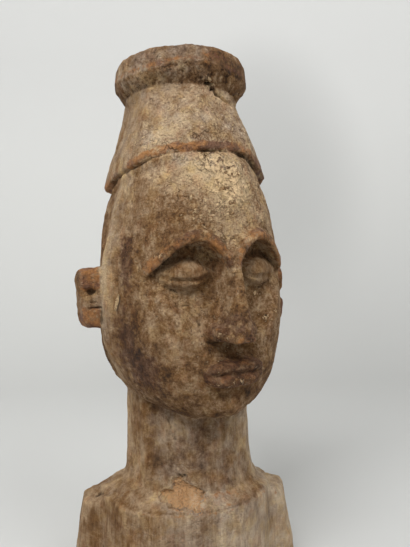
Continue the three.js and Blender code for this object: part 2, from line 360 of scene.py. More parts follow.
class Surface:
    """The points of a mesh in millimetres, which the carving moves."""

    def __init__(self, piece):
        self.piece = piece
        self.read()

    def read(self):
        normals = np.zeros(len(self.piece.data.vertices) * 3)
        self.piece.data.vertex_normals.foreach_get("vector", normals)
        self.normals = normals.reshape(-1, 3)
        self.points = read_points(self.piece) / MM
        x, y, self.height = self.points.T
        self.angle = np.arctan2(x, -y)
        self.out = np.hypot(x, y)

    def move(self, offsets):
        write_points(self.piece, (self.points + offsets) * MM)
        self.read()

    def push(self, amounts):
        """Moves each point out along its normal, or in where the amount is negative."""
        self.move(self.normals * amounts[:, None])

    def dent(self, centre, radii, direction, depth):
        """Pushes a round hollow in along a direction, on the side that faces the tool."""
        away = np.linalg.norm((self.points - centre) / np.array(radii), axis=1)
        facing = ramp(-self.normals @ np.array(direction), -0.1, 0.5)
        amount = depth * np.clip(1 - away**2, 0, 1) ** 0.7 * facing
        self.move(np.array(direction) * amount[:, None])

    def from_path(self, path):
        """Distance along the surface to a path of corners, each degrees from the face and a height."""
        around = self.angle * self.out
        best = np.full(len(around), np.inf)
        for (start, low), (end, high) in zip(path, path[1:]):
            first = math.radians(start) * self.out
            wide = math.radians(end) * self.out - first
            tall = high - low
            way = (around - first) * wide + (self.height - low) * tall
            way = np.clip(way / (wide**2 + tall**2 + 1e-9), 0, 1)
            best = np.minimum(best, np.hypot(around - first - way * wide, self.height - low - way * tall))
        return best

    def inside(self, outline, wander):
        """1 inside an outline of corners, each degrees from the face and a height, else 0."""
        degrees_per_millimetre = 2.2
        wobble = 2.2
        a = np.degrees(self.angle) + degrees_per_millimetre * wander * rough(self.points, wobble, 71)
        z = self.height + wander * rough(self.points, wobble, 75)
        odd = np.zeros(len(a), bool)
        for (a0, z0), (a1, z1) in zip(outline, outline[1:] + outline[:1]):
            crosses = (z0 > z) != (z1 > z)
            odd ^= crosses & (a < (a1 - a0) * (z - z0) / (z1 - z0 + 1e-9) + a0)
        return odd.astype(float)

    def spot(self, degrees, height, half_width, half_height):
        """A soft round patch on the surface at an angle from the face and a height."""
        away = (np.degrees(self.angle) - degrees + 180) % 360 - 180
        across = np.radians(away) * self.out / half_width
        return hill(across * 0.7, (self.height - height) / half_height * 0.7)

    def spots(self, patches):
        """The sum of soft round patches, each a strength and the numbers of its spot."""
        return sum(strength * self.spot(*place) for strength, *place in patches)

    def smoothed(self, values, rounds):
        """Values averaged with their neighbours, over and over."""
        mesh = self.piece.data
        edges = np.zeros(len(mesh.edges) * 2, np.int64)
        mesh.edges.foreach_get("vertices", edges)
        a, b = edges.reshape(-1, 2).T
        count = len(mesh.vertices)
        degree = np.maximum(np.bincount(a, minlength=count) + np.bincount(b, minlength=count), 1)
        for _ in range(rounds):
            sums = np.stack(
                [
                    np.bincount(a, column[b], count) + np.bincount(b, column[a], count)
                    for column in values.T
                ],
                axis=1,
            )
            values = 0.5 * values + 0.5 * sums / degree[:, None]
        return values

    def proud(self, rounds):
        """How far each point stands out from its surroundings, in millimetres."""
        around = self.smoothed(self.points, rounds)
        return np.sum((self.points - around) * self.normals, axis=1)


# Forms of the bust, which start a little under the floor until the base is cut

UNDER = -3
RIGHT = -1
LEFT = 1
EAR_HEIGHTS = {RIGHT: 18.6, LEFT: 20}
EAR_MIDDLES = {RIGHT: 100.3, LEFT: 97.4}

# Degrees from the face at which two flat cuts meet

NECK_EDGES = (-112, -64, -20, 16, 43, 68, 112, 150, 196)
HEAD_EDGES = (-60, -77, -108, -156, 156, 108, 77, 60, 0)
CAP_EDGES = (-112, -56, -12, 28, 72, 118, 160, 205)
RIM_EDGES = (-150, -118, -84, -52, -20, 8, 40, 66, 100, 140, 176)


def chest(size):
    """The chest, whose collar slopes up to the neck and is lower behind."""
    piece, angle, share, _ = ball(192, 150)
    boxiness = 2.2
    flare_below = 1.06
    half = size.chest_width / 2
    edge = size.collar_height
    peak = edge + 0.51 * size.chest_reach
    radius, height = along([(0, UNDER), (half, UNDER), (half, edge), (0, peak)], share)
    fraction = radius / half
    level = np.clip(height / edge, 0, 1)
    flare = mix(flare_below, 1, level)
    reach = fraction * flare * section(half, size.chest_reach, size.back_reach, angle, boxiness)
    fall = size.collar_fall * np.maximum(0, -np.cos(angle)) * fraction * level
    return place(piece, reach * np.sin(angle), -reach * np.cos(angle), height - fall)


def arm(size, neck, side):
    """An upper arm. Its top slopes outwards from the neck and falls away in front and behind."""
    piece, angle, share, _ = ball(128, 110)
    boxiness = 3
    taper = 1.3
    inner_side = 14
    drum_radius = 10
    drum_top = 34
    fall_behind = 6.5
    fall_ahead = 2.2
    # The left arm's top starts lower and falls less
    ridge = size.arm_ridge - 0.95 * (side + 1)
    slope = 0.42 - 0.045 * (side + 1)
    profile = [(0, UNDER), (drum_radius, UNDER), (drum_radius, drum_top), (0, drum_top)]
    radius, height = along(profile, share)
    level = (height - UNDER) / (drum_top - UNDER)
    outer_side = mix(size.base_width, size.top_width, np.clip(level, 0, 1) ** taper) / 2
    half = (outer_side - inner_side) / 2
    deep = size.arm_depth / 2
    reach = radius / drum_radius * section(half, deep, deep, angle, boxiness)
    x = reach * np.sin(angle) + side * (outer_side + inner_side) / 2
    y = -reach * np.cos(angle)
    outwards = np.abs(x) - neck.foot_radius
    fall = np.where(y > 0, fall_behind, fall_ahead) * np.abs(y) / deep
    return place(piece, x, y, mix(UNDER, ridge - slope * outwards - fall, level))


def shoulders(size, neck):
    """Chest and arms, turned from the face and set a little to the right."""
    pieces = [chest(size), arm(size, neck, RIGHT), arm(size, neck, LEFT)]
    turned = Matrix.Rotation(size.turned, 4, "Z") @ Matrix.Translation((-size.shift * MM, 0, 0))
    for piece in pieces:
        piece.data.transform(turned)
    return pieces


def neck_column(size):
    """The neck, drawn in above its foot, with flat cuts that turn a little on their way up."""
    piece, angle, share, _ = ball(192, 150)
    sunk = size.foot - 18
    top = size.foot + 45
    flare = 0.6
    profile = [
        (0, sunk),
        (size.foot_radius + flare, sunk),
        (size.foot_radius, size.foot),
        (mix(size.foot_radius, size.top_radius, 0.65), size.foot + 9),
        (size.top_radius, size.foot + 20),
        (size.top_radius, top),
        (0, top),
    ]
    radius, height = along(profile, share)
    turned = angle + 0.004 * (height - 50)
    facets = planed(turned, NECK_EDGES, 0.75)
    radius = radius * (1 + (facets - 1) * ramp(height, 38, 46))
    return place(piece, radius * np.sin(angle), -radius * np.cos(angle), height)


def head_span(size, height):
    """Half-extents of the head at a height: to each side, to the face and to the nape."""
    above = height > size.widest
    up = (height - size.widest) / (size.crown - size.widest)
    down = (size.widest - height) / (size.widest - size.chin)
    t = np.clip(np.where(above, up, down), 0, 1)
    side = size.width / 2 * np.where(above, swell(t, 1.95), swell(t, 2.5))
    face = size.face_reach * np.where(above, swell(t, 2.3), swell(t, 4.4))
    return side, face, size.nape_reach * swell(t, 2.8)


def face_plan(head, cap):
    """Proportions of the face: three equal thirds from the cap's edge to the chin, five eyes across."""
    third = (cap.edge + cap.edge_rise - head.chin) / 3
    plan = SimpleNamespace(third=third, eye=head.width / 5)
    plan.brow = head.chin + 2 * third
    plan.nose = head.chin + third
    plan.mouth = plan.nose - third / 3
    plan.eyes = plan.brow - third / 4
    return plan


def brow_line(plan, u):
    """Height of the middle of a brow at a distance from the middle of the face."""
    t = np.clip((u - 0.17 * plan.eye) / (1.75 * plan.eye), 0, 1)
    return plan.brow + plan.third * (0.28 * np.sin(np.pi * t**0.8) - 0.15 - 0.10 * t)


def brow_share(plan, u, z):
    """1 on the raised arch over each eye, 0 away from it."""
    t = np.clip((u - 0.17 * plan.eye) / (1.75 * plan.eye), 0, 1)
    lean = np.cos(np.arctan(0.9 * np.cos(np.pi * t**0.8)))
    away = np.abs(z - brow_line(plan, u)) * lean / (2.1 - 0.5 * t)
    ends = ramp(u, -0.5, 0.17 * plan.eye) * ramp(2.05 * plan.eye - u, 0, 2.2)
    return swell(np.clip(away, 0, 1), 3.0) * ends


def hollow_relief(plan, u, z):
    """The heart-shaped plane of the face, cut back from the brows down to the mouth."""
    low = plan.mouth - 0.1 * plan.third
    half = mix(0.6 * plan.eye, 1.95 * plan.eye, ramp(z, low, plan.eyes + 1))
    side = ramp(half - u, -1.0, 0.6 * plan.eye)
    top = ramp(brow_line(plan, u) - z, 0.2, 3.4)
    return -5.2 * side * top * ramp(z, low - 3, plan.nose + 9)


def eye_relief(plan, u, z):
    """An almond with closed lids, proud of the hollow it lies in."""
    across = (u - 1.06 * plan.eye) / (0.62 * plan.eye)
    length_left = np.clip(1 - across**2, 0, 1)
    half = 0.16 * plan.third * length_left**0.75 + 1e-6
    middle = plan.eyes - 1.6
    rise = (z - middle) / half
    lid = 4.2 * length_left**0.4 * np.clip(1 - rise**2, 0, 1) ** 0.5
    slit_line = middle - 0.06 * plan.third * length_left
    slit = 1.5 * line(z - slit_line, 0.5) * ramp(length_left, 0.02, 0.3)
    return np.where(lid > 0, lid - slit, 0)


def nose_share(plan, u, z):
    """1 along the top of the nose, falling to 0 at its sides, and how proud that top is."""
    root = plan.brow - 0.06 * plan.third
    level = (z - plan.nose) / (root - plan.nose)
    t = np.clip(level, 0, 1)
    half = mix(0.6 * plan.eye, 0.3 * plan.eye, ramp(t, 0, 0.7))
    slope = np.clip((half - u) / (0.62 * half), 0, 1) ** 0.9
    wedge = slope * ramp(level, -0.02, 0.02) * ramp(1.12 - level, 0, 0.12)
    away = ((u - 0.44 * plan.eye) / 3.0) ** 2 + ((z - plan.nose - 2.9) / 3.2) ** 2
    wing = 0.66 * np.clip(1 - away, 0, 1) ** 0.5
    return np.maximum(wedge, wing), mix(8.0, 1.2, t**1.15)


def lip_relief(plan, u, z):
    """Two full lips that meet in a level line."""
    left = np.clip(1 - (u / (0.84 * plan.eye)) ** 3.2, 0, 1)
    bow = 1 - 0.22 * line(u, 1.5)
    tall = np.where(z > plan.mouth, 4.0 * bow, 4.2) * left**0.5 + 1e-6
    rise = np.abs(z - plan.mouth) / tall
    return 4.4 * left**0.35 * swell(np.clip(np.abs(2 * rise - 1), 0, 1), 2.5)


def face_relief(plan, x, z):
    """How far the face stands forward of the plain head, in millimetres."""
    u = np.abs(x)
    relief = hollow_relief(plan, u, z) + eye_relief(plan, u, z) + lip_relief(plan, u, z)
    relief += 1.3 * hill((u - 1.55 * plan.eye) / 8, (z - plan.nose - 5) / 12)
    relief += 2.6 * hill(u / (0.8 * plan.eye), (z - plan.mouth + 0.44 * plan.third) / (0.24 * plan.third))
    nose, proud = nose_share(plan, u, z)
    relief = mix(relief, proud, nose)
    relief = mix(relief, np.maximum(relief, 2.3), brow_share(plan, u, z))
    below_nose = ramp(z, plan.mouth + 3.4, plan.mouth + 4.6) * ramp(plan.nose - z, 0, 1)
    return relief - 0.7 * line(u, 1.1) * below_nose


def head_ball(size, cap):
    """The oval head with its face, planed flat at the temples and the nape."""
    piece, angle, _, level = ball(320, 220)
    boxiness = 2.2
    height = size.widest + level * np.where(level > 0, size.crown - size.widest, size.widest - size.chin)
    side, face, nape = (np.maximum(extent, 1e-3) for extent in head_span(size, height))
    reach = section(side, face, nape, angle, boxiness)
    cut = 0.85 * ramp(np.abs(angle), math.radians(59), math.radians(61))
    reach *= planed(angle, HEAD_EDGES, cut)
    degrees = np.degrees(angle)
    # Both sides of the head swell a little, the right one more
    temples = 1.9 * hill((degrees + 76) / 18) + 0.5 * hill((degrees - 76) / 18)
    reach += temples * ramp(np.abs(height - size.widest - 2), 26, 12)
    reach = np.where(np.abs(level) > 1 - 1e-9, 0, reach)
    x = reach * np.sin(angle)
    y = -reach * np.cos(angle)
    forward = face_relief(face_plan(size, cap), x, height) * ramp(-y, 6, 14)
    jaw = size.chin + 0.36 * (y + 0.88 * size.face_reach)
    return place(piece, x, y - forward, np.maximum(height, np.minimum(jaw, size.widest)))


def ear(size, side, reach):
    """A block ear with rounded edges, sunk into the head. The right one stands out more at its top."""
    piece, _, _, _ = ball(96, 80)
    squareness = 0.33
    sunk = 4
    lean = 0.3 * (1 - side)
    wider_inside = 0.06 * side
    x, y, z = (np.sign(v) * np.abs(v) ** squareness for v in read_points(piece).T)
    inner = size.width / 2 - sunk
    return place(
        piece,
        side * (reach + inner) / 2 + x * (reach - inner) / 2 + lean * (1 - z),
        y * size.ear_thickness / 2 + size.ear_back,
        z * EAR_HEIGHTS[side] / 2 * (1.0 - wider_inside * x) + EAR_MIDDLES[side],
    )


def tip(cap, angle):
    """Slope of the tilted rim at an angle: how much it rises for each millimetre outwards."""
    return math.sin(cap.tilt) * np.cos(angle) - math.sin(cap.lean) * np.sin(angle)


def rim_dip(angle):
    """How much lower than a flat ring the knife left the rim's worn edge at an angle."""
    degrees = np.degrees(angle)
    return 0.5 + 2.2 * line(degrees + 62, 36) + 0.8 * line(degrees - 30, 24)


def cap_edge(cap, angle):
    """Height of the cap's lower edge, which the knife left a little wavy."""
    wave = 0.35 * np.sin(3 * angle + 1.1) + 0.3 * np.sin(7 * angle - 0.6)
    return cap.edge + cap.edge_rise * np.cos(angle + cap.edge_turn) + wave


def cap_bell(size):
    """The bell of the cap, with flat cuts and a bevelled lower edge that overhangs the head."""
    piece, angle, share, _ = ball(240, 180)
    tall = 1.4
    fraction, level = along([(0, 0), (1, 0), (1, tall), (0, tall)], share)
    level = level / tall
    foot = mix(size.edge, cap_edge(size, angle), fraction)
    crest = size.waist + 1 + size.waist_radius * tip(size, angle) * fraction
    height = foot + level * (crest - foot)
    drop = size.waist + size.waist_radius * tip(size, angle) - height
    u = np.clip(drop / size.full_drop, 0, 1)
    radius = mix(size.waist_radius, size.full_radius, np.sin(np.pi / 2 * u) ** 1.2)
    shift = size.shift * ramp(drop, 0, size.full_drop / 2)
    above = height - cap_edge(size, angle)
    bevel = 0.5 * np.clip(1 - above / 1.6, 0, 1) ** 2
    # The lower cap is wider than it is deep, most of all on its left
    sides = radius + 1.6 * ramp(drop, 10, 28) + 0.7 * ramp(drop, 19, 29)
    sides += 0.9 * ramp(drop, 12, 20) * hill((np.degrees(angle) - 75) / 45)
    reach = fraction * (section(sides, radius + shift, radius - shift, angle, 2) - bevel)
    reach *= planed(angle, CAP_EDGES, 0.75)
    leftwards = 0.7 * shift / size.shift + 0.7 * ramp(drop, 19, 29)
    return place(piece, reach * np.sin(angle) + leftwards, -reach * np.cos(angle), height)


def rim_ring(size):
    """The tilted rim, which flares to a ragged worn edge and narrows to its nearly flat top."""
    piece, angle, share, _ = ball(240, 150)
    sunk = -3.5
    profile = [
        (0, sunk),
        (size.waist_radius - 1.2, sunk),
        (size.waist_radius, 0),
        (size.rim_radius - 0.5, size.rim_rise - 1.5),
        (size.rim_radius, size.rim_rise),
        ((size.rim_radius + size.top_radius) / 2 + 1.3, size.top_rise - 1.5),
        (size.top_radius + 2.1, size.top_rise),
        (size.top_radius / 2, size.top_rise + 0.6),
        (0, size.top_rise + 0.9),
    ]
    radius, height = along(profile, share)
    radius = radius * planed(angle, RIM_EDGES, 0.2)
    near_edge = [0, size.rim_rise - 0.8, size.rim_rise + 0.4, size.top_rise]
    edge_share = np.interp(height, near_edge, [0, 1, 1, 0])
    top_slope = 0.045 * np.sin(angle) - 0.04 * np.cos(angle)
    height = height + radius * top_slope * ramp(height, 6, 12)
    height = height - rim_dip(angle) * edge_share * ramp(radius, 14, 18)
    place(piece, radius * np.sin(angle), -radius * np.cos(angle), height)
    tilted = Matrix.Rotation(size.lean, 4, "Y") @ Matrix.Rotation(-size.tilt, 4, "X")
    piece.data.transform(Matrix.Translation((0, 0, size.waist * MM)) @ tilted)
    return piece


def join(pieces, name):
    """Joins overlapping forms into one skin of even fineness."""
    bpy.ops.object.select_all(action="DESELECT")
    for piece in pieces:
        piece.select_set(True)
    bpy.context.view_layer.objects.active = pieces[0]
    bpy.ops.object.join()
    whole = bpy.context.object
    whole.name = name
    whole.data.name = name
    fineness = bpy.context.scene.bust_carving.voxel
    apply(whole, "REMESH", mode="VOXEL", voxel_size=fineness, adaptivity=0.0)
    return whole


# Carving and wear on the joined skin

# Paths and the chip's outline on the surface: each corner is degrees from the face and a height

RIM_CRACK = [(2, 164.2), (7, 163.9), (8, 162.6), (11, 162.9), (13, 161.2), (19, 160.6), (30, 158.4)]
CHIP = [
    (-50.5, 39.1),
    (-44.5, 40.2),
    (-38.5, 40.3),
    (-36.8, 41.9),
    (-40.5, 43.2),
    (-35.5, 43.6),
    (-31, 44.3),
    (-27, 42.8),
    (-14.6, 41.3),
    (-10.6, 40.0),
    (-11, 37.8),
    (-15.9, 37.2),
    (-15.2, 35.4),
    (-19.4, 34.9),
    (-23.6, 35.9),
    (-39.3, 37.3),
    (-41.5, 38.2),
    (-48, 38.5),
]
CHIP_WANDER = 0.6
CHIP_DEPTH = 1.15
NECK_GROOVE = [(-60, 66), (-59.5, 58), (-57.5, 52), (-59, 46), (-59, 40)]
NECK_WRINKLE = [(-43, 62), (-40, 60), (-41, 57.5), (-36, 56)]
NECK_SCAR = [(-33, 44.9), (-30, 44.4), (-26.5, 44.8)]
TEMPLE_CUT = [(-63.6, 101.6), (-66.4, 97.3)]
CHEEK_CRACK = [(-29.5, 99.4), (-26, 99.0), (-22, 99.3)]
CAP_FACET = [(-56.5, 160), (-56, 154), (-57.5, 148)]
COLLAR_EDGE = [(-67, 36.2), (-33, 35.9), (6, 35.5), (40, 36.0)]
COLLAR_FRONT = [(-11, 38.3), (2, 38.6), (14, 38.0)]
CHIP_TIPS = [[(-50, 39.1), (-46, 39.4)], [(-24, 36.6), (-19, 36.0)], [(-36, 43.2), (-33, 43.8)]]
ARM_EDGE = [(-98, 34.4), (-90, 36.2), (-78, 37.4)]
ARM_FOLD = [(-76.1, 36.8), (-84.2, 30.8), (-89.3, 22.7), (-92, 10), (-92, -3)]

# Lines that the knife or the years drew: path, half width, depth

KNIFE_LINES = [
    (RIM_CRACK, 0.6, 2.2),
    (NECK_SCAR, 0.4, 0.7),
    (NECK_GROOVE, 1.1, 0.3),
    (NECK_WRINKLE, 0.5, 0.4),
    (TEMPLE_CUT, 0.6, 0.5),
    (CHEEK_CRACK, 0.3, 0.4),
    (ARM_EDGE, 0.6, 0.5),
    (ARM_FOLD, 1.5, 0.35),
    (COLLAR_EDGE, 0.5, 0.35),
]

# Cuts in the ears: to the left, behind the ear's front, height, radii, direction of the cut, depth

BACKWARDS = (0, 1, 0)
LEFTWARDS = (1, 0, 0)
RIGHTWARDS = (-1, 0, 0)
EAR_CUTS = [
    (-33.4, 0, 102.7, (1.5, 3.0, 1.1), BACKWARDS, 0.9),
    (-34.6, 0, 102.5, (3.8, 3.0, 1.7), BACKWARDS, 0.6),
    (-32.2, 0, 97.7, (2.2, 2.5, 0.5), BACKWARDS, 0.65),
    (-33.0, 0, 99.4, (1.6, 2.5, 0.4), BACKWARDS, 0.35),
    (-36.6, 0, 100.0, (0.9, 2.5, 8.0), BACKWARDS, 0.6),
    (-37.8, 4, 102.6, (1.3, 5.0, 1.4), LEFTWARDS, 0.15),
    (35.2, 4, 97.4, (2.6, 5.5, 3.0), RIGHTWARDS, 2.2),
    (32.4, 0, 101.0, (2.0, 3.0, 1.4), BACKWARDS, 1.6),
    (32.2, 0, 94.4, (2.0, 2.5, 0.6), BACKWARDS, 1.2),
]

# Soft patches: strength, degrees from the face, height, half width, half height

CRUST_ON_HEAD = [
    (1.0, 1, 138.0, 5, 4.2),
    (0.6, -12, 140, 6, 3),
    (0.5, 6, 131, 7, 5),
    (0.3, -8, 126, 9, 8),
    (0.14, 12, 132, 24, 15),
    (0.22, 30, 128, 5, 12),
]
CRUST_ON_CAP = [(0.34, -46, 147.5, 6, 5), (0.2, 16, 150, 15, 9)]
CRUST_ELSEWHERE = [
    (0.24, 150, 148, 12, 6),
    (0.22, -150, 120, 9, 12),
    (0.2, 24, 96, 8, 16),
    (0.3, -38, 113, 5, 5),
    (0.16, -8, 84, 14, 14),
]

# Darker patches, or paler ones where the strength is negative, by the part that each keeps to

TONE_PATCHES = {
    "anywhere": [(0.05, -50, 82, 13, 20), (-0.05, -16, 38.5, 26, 2.4), (0.31, 28, 37.3, 14, 2.6)],
    "neck": [(0.10, -14, 68, 20, 8), (0.12, -58.5, 54, 3, 14), (0.09, -10, 56, 9, 9)],
    "cap": [(0.12, 2, 146.5, 8, 4), (-0.06, -46, 147, 8, 6), (-0.07, 36, 150, 8, 10)],
    "head": [
        (-0.38, -24, 137, 10, 7),
        (-0.09, 8, 131, 17, 10),
        (-0.14, -32, 102, 10, 10),
        (-0.1, -20, 93, 9, 8),
        (-0.09, -36, 86, 9, 6),
        (0.22, -72, 87, 6, 8),
    ],
    "rim": [
        (0.12, 38, 168, 7, 4),
        (-0.2, -66, 167, 14, 6),
        (-0.13, -34, 171, 10, 4),
        (-0.08, 60, 167, 14, 6),
        (0.18, 10, 171, 10, 4),
    ],
}

# How dark the wood of each part is, from 0, cream, to 1, black

TONE = SimpleNamespace(
    cap=0.36,
    head=0.5,
    face=0.61,
    jaw=0.65,
    right_temple=0.25,
    forehead=0.45,
    neck=0.58,
    shoulders=0.34,
    right_arm=0.57,
    rim=0.67,
    under_rim=0.65,
    ears=0.58,
    elsewhere=0.47,
)


def zones(surface, cap, head):
    """Soft shares of the surface that belong to each part."""
    zone = SimpleNamespace(anywhere=1)
    zone.over_edge = surface.height - cap_edge(cap, surface.angle)
    zone.rim_level = surface.height - cap.waist - tip(cap, surface.angle) * surface.out
    zone.cap = ramp(zone.over_edge, -0.3, 0.3) * ramp(zone.rim_level, 0.6, -0.6)
    zone.rim = ramp(zone.rim_level, -0.4, 0.4)
    zone.above_worn = zone.rim_level - cap.rim_rise + rim_dip(surface.angle)
    zone.under_rim = zone.rim * ramp(zone.above_worn, 0.0, -0.4)
    zone.ears = ramp(np.abs(surface.points[:, 0]), head.width / 2 + 1.4, head.width / 2 + 2.3)
    zone.ears *= ramp(surface.height, 84, 88) * ramp(np.abs(np.sin(surface.angle)), 0.85, 0.93)
    zone.neck = ramp(surface.height, 37, 41) * ramp(surface.out, 24.6, 23.6)
    zone.neck *= ramp(surface.height, 72, 66)
    zone.shoulders = ramp(surface.height, 41, 38) * (1 - zone.neck)
    zone.head = ramp(surface.height, 60, 64) * (1 - zone.neck) * (1 - zone.rim) * (1 - zone.cap)
    zone.face = zone.head * ramp(np.abs(surface.angle), math.radians(62), math.radians(48))
    zone.face *= ramp(surface.height, 126, 122)
    return zone


def carve_ears(surface, head):
    """Hollows, slits and notches cut into the ears from the front and the side."""
    front = head.ear_back - head.ear_thickness / 2
    for x, behind, z, radii, direction, depth in EAR_CUTS:
        surface.dent((x, front + behind, z), radii, direction, depth)


def carve_folds(surface, zone):
    """The lines above, the fold under the cap's edge, the crack's lip and the sunk collar."""

    def below_cap():
        return (1 - zone.cap) * ramp(surface.out, 20, 23)

    surface.push(-0.4 * line(zone.over_edge + 0.7, 0.6) * below_cap())
    filled = line(zone.over_edge + 1.5, 1.4) * hill((np.degrees(surface.angle) + 52) / 62)
    surface.push(1.1 * filled * below_cap())
    wander = 0.5 * clouds(surface.points, 1.6, 41)
    for path, half, depth in KNIFE_LINES:
        away = surface.from_path(path) + wander * half
        surface.push(-depth * line(away, half))
    sunk = 1.5 * surface.spot(70, 37.2, 18, 3.0) * ramp(surface.out, 22.3, 23.3)
    surface.move(sunk[:, None] * np.array([0.0, 0.0, -1.0]))
    lip = surface.from_path(moved(RIM_CRACK[:5], -3, 1.2))
    surface.push(0.5 * line(lip, 0.7) * (1 + clouds(surface.points, 1.0, 43)))


def soften(surface, share, rounds):
    """Rounds off the creases between the forms where the share is high."""
    offsets = surface.smoothed(surface.points, rounds) - surface.points
    surface.move(offsets * share[:, None])


def carve_chip(surface):
    """The splintered chip at the collar's front, cut back to fresh wood."""
    splinters = 0.6 * rough(surface.points, (1.2, 1.2, 4.5), 47)
    steps = 0.55 * (clouds(surface.points, (2.4, 2.4, 4.5), 49) > 0.05)
    surface.push(surface.inside(CHIP, CHIP_WANDER) * (splinters + steps - CHIP_DEPTH))


def carve_surface(surface, zone, depths):
    """Knife facets, slow unevenness, furrows along the grain, crusty lumps, and the ragged rim."""
    points = surface.points
    near = cuts(points + 1.5 * rough(points, 9, 11, 2)[:, None], (6.5, 6.5, 15.0), 5)
    kept = 1 - 0.8 * zone.face - 0.5 * zone.ears - 0.7 * zone.rim
    facet = depths.facet_depth * (near**2 - 0.24) * kept
    slow = 0.45 * clouds(points, (17, 17, 26), 13) * (1 - 0.7 * zone.face - 0.7 * zone.rim)
    furrow = rough(points, (0.9, 0.9, 12.0), 17, 2) + 0.8 * clouds(points, (2.2, 2.2, 34.0), 19)
    grain = depths.grain_depth * furrow * (1 - 0.55 * zone.face)
    above_floor = ramp(surface.height, 0.3, 2.5)
    surface.push((facet + slow + grain) * above_floor)
    points = surface.points
    crusty = zone.head * (surface.out > 22) + 0.5 * zone.cap + 0.3 * zone.neck
    lumps = 0.24 * rough(points, (3.2, 3.2, 4.0), 91) + 0.15 * rough(points, 1.5, 93, 2)
    surface.push(np.clip(crusty, 0, 1) * lumps)
    points = surface.points
    edge = line(zone.above_worn, 1.5) * zone.rim
    ragged = 0.4 * rough(points, (2.6, 2.6, 1.8), 23) - 0.5 * ramp(clouds(points, 4.5, 29), 0.25, 0.7)
    pits = -0.35 * ramp(rough(points, 1.1, 31, 2), 0.15, 0.6) + 0.3 * rough(points, 1.8, 33)
    surface.push(edge * ragged + zone.under_rim * pits)


def crust_patches(surface, zone):
    """Where the dried crust lies, before it is broken up: most of it over the forehead."""
    head = surface.spots(CRUST_ON_HEAD)
    cap = surface.spots(CRUST_ON_CAP)
    return np.clip(head * (1 - zone.cap) + cap * zone.cap + surface.spots(CRUST_ELSEWHERE), 0, 1)


def raise_crust(surface, zone, depths):
    """Small crumbs where the crust lies."""
    patch = crust_patches(surface, zone)
    crumbs = ramp(rough(surface.points, 1.5, 51, 3) + 2.2 * patch, 0.7, 1.1)
    pits = ramp(clouds(surface.points, 0.95, 57), 0.35, 0.75)
    surface.push(depths.crust_height * crumbs * (1 - 1.2 * pits))


def cut_base():
    """Saws the active piece off flat on the floor."""
    bpy.ops.object.mode_set(mode="EDIT")
    bpy.ops.mesh.select_mode(type="VERT")
    bpy.ops.mesh.select_all(action="SELECT")
    bpy.ops.mesh.bisect(
        plane_co=(0, 0, 0), plane_no=(0, 0, 1), use_fill=True, clear_inner=True, threshold=1e-6
    )
    bpy.ops.mesh.select_all(action="SELECT")
    bpy.ops.mesh.quads_convert_to_tris()
    bpy.ops.object.mode_set(mode="OBJECT")


def store(piece, name, values):
    layer = piece.data.attributes.new(name, "FLOAT", "POINT")
    layer.data.foreach_set("value", np.clip(values, 0, 1).astype(np.float32))


def tones(surface, zone, ridge):
    """How dark the wood is, from 0, cream, to 1, black, before its fine mottle."""
    points, height = surface.points, surface.height
    degrees = np.degrees(surface.angle)
    on_face = zone.head * ramp(np.abs(degrees), 66, 58)
    chest_top = ramp(height, 36.0, 36.8) * (1 - surface.spot(-90, 38, 12, 12))
    layers = (
        (TONE.cap + 0.07 * ramp(degrees, -54, -58), zone.cap),
        (TONE.head + 0.07 * ramp(degrees, 20, -30), zone.head),
        (TONE.face, on_face * ramp(height, 124, 112)),
        (TONE.jaw, zone.head * ramp(height, 90, 74) * ramp(degrees, 50, 10)),
        (TONE.right_temple, zone.head * surface.spot(-78, 104, 7, 40)),
        (TONE.forehead, zone.head * surface.spot(18, 133, 20, 17)),
        (TONE.neck - 0.10 * ramp(degrees, -62, -67) - 0.21 * ramp(degrees, 12, 40), zone.neck),
        (TONE.shoulders - 0.03 * ramp(degrees, -30, 10) - 0.07 * chest_top, zone.shoulders),
        (TONE.right_arm, zone.shoulders * surface.spot(-68, 27, 26, 18)),
        (TONE.rim, zone.rim),
        (TONE.under_rim, zone.under_rim),
        (TONE.ears, zone.ears),
    )
    tone = TONE.elsewhere
    for value, share in layers:
        tone = mix(tone, value, share)
    for part, patches in TONE_PATCHES.items():
        tone = tone + getattr(zone, part) * surface.spots(patches)
    tone += 0.2 * line(zone.above_worn + 0.6, 0.5) * zone.rim
    tone += 0.1 * line(surface.from_path(COLLAR_EDGE), 0.5)
    tone += 0.13 * line(surface.from_path(CAP_FACET), 0.4)
    tone -= zone.neck * (0.04 + 0.06 * ramp(degrees, 35, 50))
    tone -= 0.02 * zone.shoulders * ramp(degrees, -30, 0) + 0.16 * ridge
    uneven = 0.11 + 0.05 * zone.neck + 0.04 * zone.rim
    uneven -= zone.shoulders * (0.05 + 0.03 * ramp(degrees, -30, -60))
    streaky = 0.06 + 0.06 * zone.neck + 0.09 * zone.shoulders * ramp(degrees, 40, 15)
    streaky += 0.1 * zone.head * ramp(height, 118, 126)
    return tone + uneven * rough(points, (8, 8, 11), 61) + streaky * rough(points, (4.5, 4.5, 26), 67)


def face_shares(surface, plan):
    """Where the brows, the nose, the lips and the lids are on the finished surface."""
    u, z = np.abs(surface.points[:, 0]), surface.height
    in_front = ramp(-surface.points[:, 1], 12, 18)
    below_brow = ramp(z, plan.brow, plan.eyes - 4)
    face = SimpleNamespace()
    face.brow = brow_share(plan, u, z) * in_front
    face.nose = ramp(nose_share(plan, u, z)[0], 0.1, 0.5) * in_front * below_brow
    face.lips = ramp(lip_relief(plan, u, z), 0.2, 1.5) * in_front
    face.lids = ramp(eye_relief(plan, u, z), 0.5, 2.5) * in_front
    return face


